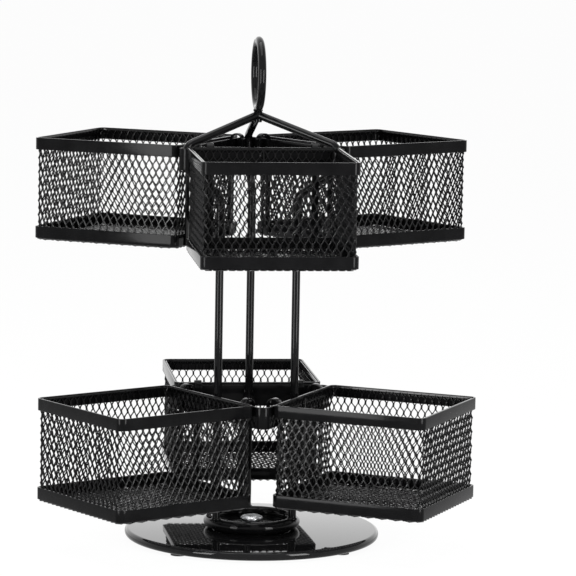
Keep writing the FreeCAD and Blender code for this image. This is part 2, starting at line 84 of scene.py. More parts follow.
class Slot(Enum):
    """Material slots of the part's record."""

    PAINT = "black_paint"
    ZINC = "zinc_plate"
    NYLON = "nylon"
    RUBBER = "foot_rubber"


class Place(Enum):
    """Where the baskets hang, as a heading in degrees that turns the front towards +X."""

    lower_left = -60.0
    lower_right = 60.0
    lower_back = 180.0
    upper_front = 0.0
    upper_right = 120.0
    upper_left = -120.0

    @property
    def band(self) -> str:
        """The node of the band that the basket hangs on."""
        return self.name.split("_")[0] + "_band"


class Element(Enum):
    """The elements of a mesh that can be picked."""

    VERT = "verts"
    EDGE = "edges"
    FACE = "faces"


class NodeBoard:
    """A shader node tree with short calls to add and link nodes."""

    def __init__(self, tree: bpy.types.NodeTree) -> None:
        """Empty the node tree of a material or of the world."""
        self.tree = tree
        tree.nodes.clear()

    def add(self, kind: str, **settings: object) -> Node:
        """Add a node.

        Args:
            kind: The node's type name without its common start.
            settings: Properties of the node, or input values by input name with a leading underscore.

        Returns:
            The new node.
        """
        made = self.tree.nodes.new("ShaderNode" + kind)
        for name, value in settings.items():
            if name.startswith("_"):
                made.inputs[name[1:].replace("_", " ")].default_value = value
            else:
                setattr(made, name, value)
        return made

    def link(self, source: Socket, target: Socket) -> None:
        """Link an output socket to an input socket."""
        self.tree.links.new(source, target)


@dataclass(frozen=True)
class Finish:
    """A surface finish with a fine grain in its gloss and a fine bump.

    Attributes:
        name: The material's name.
        slot: The record's slot that the finish belongs to.
        colour: The base colour, linear.
        stain: The colour that broad patches drift towards.
        metallic: How metallic the surface is.
        gloss: The lowest and highest roughness.
        grain: Size of the bump's grain in metres.
        relief: Height of the bump in metres.
        patch: Size of the broad patches in metres.
        shine: How strongly the surface mirrors, where a half is plain.
        stain_span, gloss_span: The noise values between which colour and roughness drift.
        patch_detail, patch_roughness: How much fine detail the patches have, and how strong it is.
        grain_detail: How much fine detail the grain has.
    """

    name: str
    slot: Slot
    colour: tuple[float, float, float]
    stain: tuple[float, float, float]
    metallic: float
    gloss: tuple[float, float]
    grain: float
    relief: float
    patch: float = 12 * MM
    shine: float = 0.5
    stain_span: ClassVar[tuple[float, float]] = (0.35, 0.75)
    gloss_span: ClassVar[tuple[float, float]] = (0.3, 0.7)
    patch_detail: ClassVar[float] = 4.0
    patch_roughness: ClassVar[float] = 0.6
    grain_detail: ClassVar[float] = 2.0

    def material(self) -> bpy.types.Material:
        """Give the finish's material, made on first use.

        Returns:
            The material.
        """
        if self.name in bpy.data.materials:
            return bpy.data.materials[self.name]
        made = bpy.data.materials.new(self.name)
        made.use_nodes = True
        made.diffuse_color = (*self.colour, 1.0)
        board = NodeBoard(made.node_tree)
        place = board.add("TexCoord").outputs["Object"]
        surface = board.add("BsdfPrincipled", _Metallic=self.metallic, _Specular_IOR_Level=self.shine)
        output = board.add("OutputMaterial")
        board.link(surface.outputs["BSDF"], output.inputs["Surface"])
        patches = board.add(
            "TexNoise", _Scale=1 / self.patch, _Detail=self.patch_detail, _Roughness=self.patch_roughness,
        )
        board.link(place, patches.inputs["Vector"])
        self._drift(board, patches, surface)
        self._bump(board, place, surface)
        return made

    def _drift(self, board: NodeBoard, patches: Node, surface: Node) -> None:
        """Let colour and gloss drift in broad patches.

        Args:
            board: The material's nodes.
            patches: The noise that drives the drift.
            surface: The shader.
        """
        ramp = board.add("ValToRGB")
        for stop, position, colour in zip(
            ramp.color_ramp.elements, self.stain_span, (self.colour, self.stain),
        ):
            stop.position = position
            stop.color = (*colour, 1.0)
        board.link(patches.outputs["Fac"], ramp.inputs["Fac"])
        board.link(ramp.outputs["Color"], surface.inputs["Base Color"])
        gloss = board.add(
            "MapRange", _From_Min=self.gloss_span[0], _From_Max=self.gloss_span[1],
            _To_Min=self.gloss[0], _To_Max=self.gloss[1],
        )
        board.link(patches.outputs["Fac"], gloss.inputs["Value"])
        board.link(gloss.outputs["Result"], surface.inputs["Roughness"])

    def _bump(self, board: NodeBoard, place: Socket, surface: Node) -> None:
        """Add the fine bump.

        Args:
            board: The material's nodes.
            place: The coordinates that the grain follows.
            surface: The shader.
        """
        grain = board.add("TexNoise", _Scale=1 / self.grain, _Detail=self.grain_detail)
        bump = board.add("Bump", _Strength=1.0, _Distance=self.relief)
        board.link(place, grain.inputs["Vector"])
        board.link(grain.outputs["Fac"], bump.inputs["Height"])
        board.link(bump.outputs["Normal"], surface.inputs["Normal"])


STRIP_ENAMEL = Finish(
    "strip_black_enamel", Slot.PAINT, (0.0025, 0.0025, 0.0027), (0.0045, 0.0045, 0.0048), 0.0, (0.08, 0.15),
    grain=1.6 * MM, relief=0.010 * MM, shine=0.06,
)
WIRE_ENAMEL = Finish(
    "wire_black_enamel", Slot.PAINT, (0.0025, 0.0025, 0.0027), (0.0045, 0.0045, 0.0048), 0.0, (0.03, 0.07),
    grain=2.2 * MM, relief=0.006 * MM, shine=0.11,
)
MIRROR_ENAMEL = Finish(
    "mirror_black_enamel", Slot.PAINT, (0.004, 0.004, 0.0043), (0.006, 0.006, 0.0063), 0.0, (0.02, 0.05),
    grain=7 * MM, relief=0.004 * MM, patch=40 * MM, shine=0.16,
)
MESH_ENAMEL = Finish(
    "dipped_black_mesh", Slot.PAINT, (0.003, 0.003, 0.0032), (0.006, 0.006, 0.0063), 0.0, (0.10, 0.20),
    grain=0.9 * MM, relief=0.03 * MM, patch=6 * MM, shine=0.18,
)
POOLED_ENAMEL = Finish(
    "pooled_black_mesh", Slot.PAINT, (0.004, 0.004, 0.0043), (0.007, 0.007, 0.0073), 0.0, (0.05, 0.12),
    grain=0.9 * MM, relief=0.03 * MM, patch=6 * MM, shine=0.6,
)
BRIGHT_ZINC = Finish(
    "bright_zinc_plate", Slot.ZINC, (0.56, 0.57, 0.58), (0.40, 0.41, 0.43), 1.0, (0.22, 0.36),
    grain=0.8 * MM, relief=0.02 * MM, patch=5 * MM,
)
WHITE_NYLON = Finish(
    "white_nylon", Slot.NYLON, (0.80, 0.79, 0.74), (0.72, 0.70, 0.64), 0.0, (0.42, 0.55),
    grain=0.6 * MM, relief=0.02 * MM, patch=9 * MM,
)
PAD_RUBBER = Finish(
    "black_pad_rubber", Slot.RUBBER, (0.016, 0.016, 0.016), (0.030, 0.029, 0.028), 0.0, (0.70, 0.85),
    grain=0.4 * MM, relief=0.04 * MM, patch=4 * MM,
)


class Bench:
    """The modelling bench: one piece at a time, drawn out with edit-mode operators."""

    torus_steps: ClassVar[tuple[int, int]] = (112, 28)
    ball_steps: ClassVar[tuple[int, int]] = (20, 12)
    doubles: ClassVar[float] = 0.002 * MM

    def __init__(self, name: str) -> None:
        """Clear the bench for a new piece.

        Args:
            name: The piece's name.
        """
        self.name = name
        self.piece: Piece | None = None
        bpy.ops.object.select_all(action="DESELECT")

    def start(self, operator: Callable[..., set[str]], **settings: object) -> None:
        """Add a primitive at the origin, as a new piece or into the piece on the bench.

        Args:
            operator: The operator that adds the primitive.
            settings: The operator's sizes.
        """
        if self.piece is None:
            operator(enter_editmode=True, **settings)
            self.piece = bpy.context.object
            self.piece.name = self.name
            self.piece.data.name = self.name
        else:
            operator(**settings)

    def mesh(self) -> bmesh.types.BMesh:
        """Give the edit mesh of the piece on the bench."""
        return bmesh.from_edit_mesh(self.piece.data)

    def place(self, matrix: Matrix) -> None:
        """Move the selected points by a matrix.

        Args:
            matrix: The move, turn and scale to make.
        """
        mesh = self.mesh()
        bmesh.ops.transform(mesh, matrix=matrix, verts=[vert for vert in mesh.verts if vert.select])
        bmesh.update_edit_mesh(self.piece.data)

    def line(self, first: Vector, last: Vector) -> None:
        """Start from one straight edge.

        Args:
            first: Its first end.
            last: Its last end.
        """
        self.start(bpy.ops.mesh.primitive_plane_add, size=1.0)
        mesh = self.mesh()
        corners = [vert for vert in mesh.verts if vert.select]
        bmesh.ops.delete(mesh, geom=corners[2:], context="VERTS")
        corners[0].co = first
        corners[1].co = last
        bmesh.update_edit_mesh(self.piece.data)

    def disc(self, radius: float, matrix: Matrix, points: int = 28) -> None:
        """Start from a disc with some points round its edge, moved by a matrix."""
        self.start(bpy.ops.mesh.primitive_circle_add, radius=radius, vertices=points, fill_type="NGON")
        self.place(matrix)

    def torus(self, major: float, minor: float, matrix: Matrix) -> None:
        """Add a round ring by the radii of its middle line and its section, moved by a matrix."""
        self.start(
            bpy.ops.mesh.primitive_torus_add, major_radius=major, minor_radius=minor,
            major_segments=self.torus_steps[0], minor_segments=self.torus_steps[1],
        )
        self.place(matrix)

    def ball(self, spot: Vector, half: Vector) -> None:
        """Add a round bead.

        Args:
            spot: Its middle.
            half: Half its length, width and height.
        """
        around, along = self.ball_steps
        self.start(bpy.ops.mesh.primitive_uv_sphere_add, radius=1.0, segments=around, ring_count=along)
        self.place(Matrix.Translation(spot) @ Matrix.Diagonal((*half, 1.0)))

    def draw_out(self, step: Vector) -> None:
        """Extrude what is selected by a step."""
        bpy.ops.mesh.extrude_region_move(TRANSFORM_OT_translate={"value": step})

    def turn(self, centre: Vector, axis: Vector, angle: float, steps: int) -> None:
        """Extrude what is selected round an axis through a centre, by the right-hand rule."""
        bpy.ops.mesh.spin(steps=steps, angle=-angle, center=centre, axis=axis)

    def pick(self, kind: Element, test: Callable[[object], bool]) -> None:
        """Select only the elements of one kind that pass a test.

        Args:
            kind: The kind of element.
            test: Says whether an element is wanted.
        """
        bpy.ops.mesh.select_all(action="DESELECT")
        bpy.ops.mesh.select_mode(type=kind.name)
        mesh = self.mesh()
        for element in getattr(mesh, kind.value):
            element.select_set(test(element))
        bmesh.update_edit_mesh(self.piece.data)

    def done(self, recalculate: bool = True) -> Piece:
        """Merge doubled points, turn the faces outwards and leave edit mode.

        Args:
            recalculate: Whether the faces' directions are worked out again.

        Returns:
            The piece.
        """
        bpy.ops.mesh.select_mode(type="VERT")
        bpy.ops.mesh.select_all(action="SELECT")
        bpy.ops.mesh.remove_doubles(threshold=self.doubles)
        if recalculate:
            bpy.ops.mesh.normals_make_consistent(inside=False)
        bpy.ops.object.mode_set(mode="OBJECT")
        return self.piece


class Workshop:
    """Finishing steps that every piece goes through."""

    edge_steps: ClassVar[int] = 3
    edge_angle: ClassVar[float] = 50.0

    @staticmethod
    def select(*pieces: Piece) -> None:
        """Select only these pieces and make the last one active."""
        bpy.ops.object.select_all(action="DESELECT")
        for piece in pieces:
            piece.select_set(True)
        bpy.context.view_layer.objects.active = pieces[-1]

    @staticmethod
    def modify(piece: Piece, kind: str, **settings: object) -> None:
        """Add a modifier and apply it.

        Args:
            piece: The piece.
            kind: The modifier's type.
            settings: The modifier's properties.
        """
        modifier = piece.modifiers.new(kind.lower(), kind)
        for name, value in settings.items():
            setattr(modifier, name, value)
        bpy.context.view_layer.objects.active = piece
        bpy.ops.object.modifier_apply(modifier=modifier.name)

    @staticmethod
    def thicken(piece: Piece, thickness: float, edge: float) -> None:
        """Give a sheet its thickness, half to each side, and ease its edges.

        Args:
            piece: The sheet.
            thickness: Its thickness.
            edge: Width of the eased edges, or 0 for none.
        """
        Workshop.modify(piece, "SOLIDIFY", thickness=thickness, offset=0.0, use_even_offset=True)
        if edge:
            Workshop.modify(
                piece, "BEVEL", width=edge, segments=Workshop.edge_steps, limit_method="ANGLE",
                angle_limit=radians(Workshop.edge_angle),
            )

    @staticmethod
    def smooth(piece: Piece, angle: float = 32.0) -> None:
        """Shade a piece smooth, with creases where faces meet at more than an angle in degrees."""
        Workshop.select(piece)
        bpy.ops.object.shade_smooth_by_angle(angle=radians(angle))

    @staticmethod
    def turned_copy(piece: Piece, name: str, matrix: Matrix) -> Piece:
        """Copy a piece with a mesh of its own, moved in its mesh.

        Args:
            piece: The piece to copy.
            name: The copy's name.
            matrix: The copy's turn and move.

        Returns:
            The copy.
        """
        copy = piece.copy()
        copy.data = piece.data.copy()
        copy.name = name
        copy.data.name = name
        copy.data.transform(matrix)
        bpy.context.collection.objects.link(copy)
        return copy

    @staticmethod
    def join(piece: Piece, other: Piece) -> None:
        """Join another piece into a piece, which stays."""
        Workshop.select(other, piece)
        bpy.ops.object.join()

    @staticmethod
    def paint(piece: Piece, finish: Finish) -> None:
        """Give a piece one finish all over."""
        piece.data.materials.clear()
        piece.data.materials.append(finish.material())

    @staticmethod
    def dress(piece: Piece, finish: Finish, body: str, node: str) -> None:
        """Give a piece its finish, its body and the node that it stands for.

        Args:
            piece: The piece.
            finish: Its finish.
            body: The body that it rides on.
            node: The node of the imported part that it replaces.
        """
        Workshop.paint(piece, finish)
        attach(piece, body)
        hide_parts(node)
        LOG.info("%s: %d faces on %s", piece.name, len(piece.data.polygons), body)


def raised(height: float) -> Matrix:
    """Give the move up by a height."""
    return Matrix.Translation(UP * height)


def turn_about_axis(heading: float) -> Matrix:
    """Give the turn about the upright axis for a heading in degrees."""
    return Matrix.Rotation(radians(heading), 4, "Z")


@dataclass
class BasePlate:
    """The round base: a pressed pan with a rolled edge."""

    sheet: float = 1.2 * MM
    lip: float = 11 * MM
    roll_share: float = 0.46
    roll_steps: int = 10
    points: int = 224
    crease: float = 30.0

    def __post_init__(self) -> None:
        """Read the pan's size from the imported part."""
        low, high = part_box("base_pan")
        self.radius = (high.x - low.x) / 2
        self.bottom = low.z
        self.height = high.z - low.z

    def build(self) -> Piece:
        """Model the pan: a disc with a round edge, hollow underneath.

        Returns:
            The pan.
        """
        bench = Bench("base_plate")
        bench.disc(self.radius, raised(self.bottom), self.points)
        bench.draw_out(UP * self.height)
        bench.pick(Element.EDGE, self._on_edge)
        bpy.ops.mesh.bevel(
            offset=self.height * self.roll_share, segments=self.roll_steps, affect="EDGES", profile=0.5,
        )
        bench.pick(Element.FACE, lambda face: face.normal.z < 0.0 and face.calc_area() > self.lip ** 2)
        bpy.ops.mesh.inset(thickness=self.lip)
        bench.draw_out(UP * (self.height - self.sheet))
        plate = bench.done()
        Workshop.smooth(plate, self.crease)
        return plate

    def _on_edge(self, edge: bmesh.types.BMEdge) -> bool:
        """Say whether an edge lies along the rim of the disc."""
        first, last = edge.verts
        outermost = min(first.co.xy.length, last.co.xy.length) > self.radius - self.sheet / 2
        return outermost and abs(first.co.z - last.co.z) < self.sheet

    def dress(self) -> None:
        """Build the base and finish it."""
        Workshop.dress(self.build(), MIRROR_ENAMEL, "base", "base_pan")


@dataclass
class Pivot:
    """The pivot screw and the small pieces round it."""

    slot_width: float = 2.3 * MM
    slot_length: float = 10.4 * MM
    slot_depth: float = 2.2 * MM
    slot_foot: tuple[float, float] = (0.62, 0.7)
    slot_flare: tuple[float, float] = (1.6, 1.5)
    slot_through: float = 1.4
    rim: float = 1.3 * MM
    crown_share: float = 0.06
    dome_steps: int = 8
    head_points: int = 72
    shank_points: int = 40
    bush_wall: float = 1.2 * MM
    crease: float = 25.0
    kept: dict[str, Finish] = field(default_factory=lambda: {
        "thrust_washer": WHITE_NYLON, "pivot_bush": BRIGHT_ZINC, "head_washer": BRIGHT_ZINC,
        "lock_nut": BRIGHT_ZINC, "base_feet": PAD_RUBBER,
    })

    def __post_init__(self) -> None:
        """Read the screw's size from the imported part."""
        low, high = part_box("pivot_screw")
        self.head_radius = (high.x - low.x) / 2
        self.top = high.z
        self.bottom = low.z
        self.head_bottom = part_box("head_washer")[1].z
        self.shank_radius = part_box("pivot_bush")[1].x - self.bush_wall

    def build(self) -> Piece:
        """Model the pan-head screw with its cross recess.

        Returns:
            The screw.
        """
        bench = Bench("pivot_screw_visual")
        bench.disc(self.head_radius, raised(self.head_bottom), self.head_points)
        bench.draw_out(UP * self.rim)
        rise = self.top - self.head_bottom - self.rim
        for step in range(self.dome_steps):
            before, after = (pi / 2 * count / self.dome_steps for count in (step, step + 1))
            shrink = max(cos(after), self.crown_share) / cos(before)
            bench.draw_out(UP * rise * (sin(after) - sin(before)))
            bench.place(Matrix.Diagonal((shrink, shrink, 1.0, 1.0)))
        head = bench.done()
        for angle in (0.0, 90.0):
            self._cut(head, angle)
        shank = Bench("shank")
        shank.disc(self.shank_radius, raised(self.bottom), self.shank_points)
        shank.draw_out(UP * (self.head_bottom - self.bottom))
        Workshop.join(head, shank.done())
        Workshop.smooth(head, self.crease)
        return head

    def _cut(self, head: Piece, angle: float) -> None:
        """Cut one tapered slot of the cross recess.

        Args:
            head: The screw's head.
            angle: Which way the slot runs, in degrees.
        """
        bench = Bench("recess")
        long_foot, wide_foot = self.slot_foot
        size = Matrix.Diagonal((self.slot_length * long_foot, self.slot_width * wide_foot, 1.0, 1.0))
        place = turn_about_axis(angle) @ raised(self.top - self.slot_depth) @ size
        bench.disc(2 ** -0.5, place @ turn_about_axis(45.0), points=4)
        bench.draw_out(UP * self.slot_depth * self.slot_through)
        flare = Matrix.Diagonal((*self.slot_flare, 1.0, 1.0))
        bench.place(turn_about_axis(angle) @ flare @ turn_about_axis(-angle))
        cutter = bench.done()
        Workshop.modify(head, "BOOLEAN", operation="DIFFERENCE", solver="EXACT", object=cutter)
        bpy.data.objects.remove(cutter)

    def dress(self, nodes: dict[str, Piece]) -> None:
        """Build the screw and finish it and the pieces that stay as they are.

        Args:
            nodes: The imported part's nodes.
        """
        Workshop.dress(self.build(), BRIGHT_ZINC, "base", "pivot_screw")
        for name, finish in self.kept.items():
            Workshop.paint(nodes[name], finish)


@dataclass
class Turntable:
    """The dish that turns on the base: a floor inside a thick rolled ring."""

    floor: float = 1.2 * MM
    bore: float = 4.25 * MM
    play: float = 0.1 * MM
    floor_overlap: float = 0.5
    floor_steps: int = 96
    crease: float = 40.0

    def __post_init__(self) -> None:
        """Read the dish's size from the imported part."""
        low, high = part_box("turntable_dish")
        self.section = (high.z - low.z) / 2
        self.level = (high.z + low.z) / 2
        self.middle = (high.x - low.x) / 2 - self.section
        self.floor_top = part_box("head_washer")[0].z - self.play

    def build(self) -> Piece:
        """Model the ring and its floor.

        Returns:
            The dish.
        """
        bench = Bench("turntable")
        inner = Vector((self.bore, 0.0, self.floor_top - self.floor))
        outer = Vector((self.middle - self.section * self.floor_overlap, 0.0, inner.z))
        bench.line(inner, outer)
        bench.draw_out(UP * self.floor)
        bpy.ops.mesh.select_all(action="SELECT")
        bpy.ops.mesh.delete(type="ONLY_FACE")
        bench.pick(Element.EDGE, lambda edge: True)
        bench.turn(Vector(), UP, 2 * pi, self.floor_steps)
        bench.torus(self.middle, self.section, raised(self.level))
        dish = bench.done()
        Workshop.smooth(dish, self.crease)
        return dish

    def dress(self) -> None:
        """Build the turntable and finish it."""
        Workshop.dress(self.build(), WIRE_ENAMEL, "carousel", "turntable_dish")


@dataclass
class WireFrame:
    """The three bent uprights with their weld beads."""

    bend: float = 6 * MM
    bend_start_drop: float = 29 * MM
    bend_end_drop: float = 12 * MM
    crown_rise: float = 1.2 * MM
    apex_share: float = 0.4
    bead_half: float = 4 * MM
    foot_bead: Vector = field(default_factory=lambda: Vector((3.1, 3.1, 1.5)) * MM)
    foot_sink: float = 0.3 * MM
    band_bead: Vector = field(default_factory=lambda: Vector((0.9, 0.9, 4.2)) * MM)
    band_bead_place: tuple[float, float] = (0.62, 0.9)
    bend_steps: int = 10
    crease: float = 50.0
    headings: dict[str, float] = field(default_factory=lambda: {
        "upright_left": -60.0, "upright_right": 60.0, "upright_back": 180.0,
    })

    def __post_init__(self) -> None:
        """Read the frame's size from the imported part."""
        bands = StripBands()
        low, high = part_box("upright_back")
        self.radius = (high.x - low.x) / 2
        self.foot = bands.inradius - bands.thickness - self.radius
        self.corner = 2 * (bands.inradius - bands.corner) + bands.corner - bands.thickness - self.radius
        self.ring_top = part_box("turntable_dish")[1].z
        self.lower_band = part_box("lower_band")
        self.upper_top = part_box("upper_band")[1].z
        self.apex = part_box("handle_ring")[0].z + self.bead_half

    def points(self) -> list[Vector]:
        """Give the corners of one wire's middle line, in the plane y = 0.

        Returns:
            The corners, from the foot to the apex.
        """
        return [
            Vector((self.foot, 0.0, self.ring_top - self.radius)),
            Vector((self.foot, 0.0, self.upper_top - self.bend_start_drop)),
            Vector((self.corner, 0.0, self.upper_top - self.bend_end_drop)),
            Vector((self.corner, 0.0, self.upper_top + self.crown_rise)),
            Vector((self.radius * self.apex_share, 0.0, self.apex)),
        ]

    def build(self) -> Piece:
        """Model one wire in the plane y = 0 by drawing a circle out along its line.

        Returns:
            The wire.
        """
        corners = self.points()
        bench = Bench("wire")
        bench.disc(self.radius, Matrix.Translation(corners[0]))
        place = corners[0]
        for before, corner, after in zip(corners, corners[1:], corners[2:]):
            way_in = (corner - before).normalized()
            way_out = (after - corner).normalized()
            angle = way_in.angle(way_out)
            axis = way_in.cross(way_out).normalized()
            trim = self.bend * tan(angle / 2)
            bench.draw_out(corner - way_in * trim - place)
            centre = corner - way_in * trim + axis.cross(way_in) * self.bend
            bench.turn(centre, axis, angle, self.bend_steps)
            place = corner + way_out * trim
        bench.draw_out(corners[-1] - place)
        self._beads(bench)
        wire = bench.done()
        Workshop.smooth(wire, self.crease)
        return wire

    def _beads(self, bench: Bench) -> None:
        """Add the weld beads at the foot and beside the lower band.

        Args:
            bench: The bench that holds the wire.
        """
        foot = Vector((self.foot, 0.0, self.ring_top - self.foot_sink))
        bench.ball(foot, self.foot_bead)
        low, high = self.lower_band
        out, beside = (share * self.radius for share in self.band_bead_place)
        for side in (-beside, beside):
            spot = Vector((self.foot + out, side, (low.z + high.z) / 2))
            bench.ball(spot, self.band_bead)

    def dress(self) -> None:
        """Build the wires and finish them."""
        wire = self.build()
        for node, heading in self.headings.items():
            copy = Workshop.turned_copy(wire, node + "_wire", turn_about_axis(heading - 90.0))
            Workshop.dress(copy, WIRE_ENAMEL, "carousel", node)
        bpy.data.objects.remove(wire)


@dataclass
class StripBands:
    """The two triangular bands of flat strip."""

    thickness: float = 1.5 * MM
    corner: float = 5 * MM
    edge: float = 0.35 * MM
    weld_mark: float = 1.4 * MM
    weld_proud: float = 0.2 * MM
    weld_offset: float = -23 * MM
    bend_steps: int = 14
    headings: dict[str, float] = field(default_factory=lambda: {"lower_band": 60.0, "upper_band": 0.0})

    def __post_init__(self) -> None:
        """Read the bands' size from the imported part."""
        low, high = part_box("upper_band")
        self.inradius = -low.y
        self.height = high.z - low.z

    def build(self) -> Piece:
        """Model one band with its bottom at z = 0 and one face to the front.

        Returns:
            The band.
        """
        reach = self.inradius - self.thickness / 2
        bend = self.corner - self.thickness / 2
        half = 3 ** 0.5 * (reach - bend)
        bench = Bench("band")
        start = Vector((-half, -reach, 0.0))
        bench.line(start, start + UP * self.height)
        for side in range(3):
            swing = turn_about_axis(120.0 * side)
            bench.draw_out(swing @ Vector((2 * half, 0.0, 0.0)))
            bench.turn(swing @ Vector((half, bend - reach, 0.0)), UP, 2 * pi / 3, self.bend_steps)
        band = bench.done()
        Workshop.thicken(band, self.thickness, self.edge)
        mark = Bench("weld_mark")
        spot = Vector((self.weld_offset, -self.inradius, self.height / 2))
        mark.ball(spot, Vector((self.weld_mark, self.weld_proud, self.weld_mark)))
        Workshop.join(band, mark.done())
        Workshop.smooth(band)
        return band

    def dress(self) -> None:
        """Build the bands and finish them."""
        band = self.build()
        for node, heading in self.headings.items():
            move = raised(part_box(node)[0].z) @ turn_about_axis(heading)
            copy = Workshop.turned_copy(band, node + "_strip", move)
            Workshop.dress(copy, STRIP_ENAMEL, "carousel", node)
        bpy.data.objects.remove(band)


@dataclass
class LiftingRing:
    """The ring handle on its short stem, with the bead that joins the three wires."""

    bead_height: float = 8 * MM
    collar_half: float = 1.7 * MM
    collar_stretch: float = 1.25
    collar_sink: float = 0.6
    crease: float = 50.0

    def __post_init__(self) -> None:
        """Read the handle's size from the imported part."""
        low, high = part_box("handle_ring")
        self.bottom = low.z
        self.bead = (high.x - low.x) / 2
        self.wire = WireFrame().radius
        self.radius = (high.y - low.y) / 2 - self.wire
        self.level = high.z - self.radius - self.wire

    def build(self) -> Piece:
        """Model the handle.

        Returns:
            The handle.
        """
        bench = Bench("lifting_ring")
        bench.disc(self.wire, raised(self.bottom))
        bench.draw_out(UP * (self.level - self.radius - self.bottom))
        upright = raised(self.level) @ Matrix.Rotation(pi / 2, 4, "Y")
        bench.torus(self.radius, self.wire, upright)
        middle = self.bottom + self.bead_height / 2
        bench.ball(UP * middle, Vector((self.bead, self.bead, self.bead_height / 2)))
        joint = self.level - self.radius - self.wire * self.collar_sink
        bench.ball(UP * joint, Vector((self.bead, self.bead * self.collar_stretch, self.collar_half)))
        handle = bench.done()
        Workshop.smooth(handle, self.crease)
        return handle

    def dress(self) -> None:
        """Build the handle and finish it."""
        Workshop.dress(self.build(), WIRE_ENAMEL, "carousel", "handle_ring")


@dataclass
class RoundedLoop:
    """A rounded rectangle seen from above, measured along its line from the middle of the near side."""

    half_width: float
    near: float
    far: float
    bend: float
    slack: ClassVar[float] = 1e-9

    def stretches(self) -> list[tuple[float, Vector, float]]:
        """Give the loop as straight and round stretches.

        Returns:
            For each stretch its length, its start and its turn in degrees, which is 0 if straight.
        """
        across = self.half_width - self.bend
        along = self.far - self.near - 2 * self.bend
        arc = self.bend * pi / 2
        left, right = -self.half_width, self.half_width
        return [
            (across, Vector((0.0, -self.near, 0.0)), 0.0),
            (arc, Vector((-across, -self.near, 0.0)), 90.0),
            (along, Vector((left, -self.near - self.bend, 0.0)), 0.0),
            (arc, Vector((left, -self.far + self.bend, 0.0)), 90.0),
            (2 * across, Vector((-across, -self.far, 0.0)), 0.0),
            (arc, Vector((across, -self.far, 0.0)), 90.0),
            (along, Vector((right, -self.far + self.bend, 0.0)), 0.0),
            (arc, Vector((right, -self.near - self.bend, 0.0)), 90.0),
            (across, Vector((across, -self.near, 0.0)), 0.0),
        ]

    def length(self) -> float:
        """Give the length of the whole loop."""
        return sum(stretch[0] for stretch in self.stretches())

    def point(self, distance: float) -> tuple[Vector, Vector]:
        """Give a point on the loop.

        Args:
            distance: How far along the loop it is.

        Returns:
            The point and the direction outwards.
        """
        heading = 180.0
        for length, start, bend in self.stretches():
            if distance <= length + self.slack:
                break
            distance -= length
            heading += bend
        way = radians(heading)
        forward = Vector((cos(way), sin(way), 0.0))
        outward = Vector((sin(way), -cos(way), 0.0))
        if not bend:
            return start + forward * distance, outward
        swing = Matrix.Rotation(distance / self.bend, 4, "Z")
        centre = start - outward * self.bend
        outward = swing @ outward
        return centre + outward * self.bend, outward


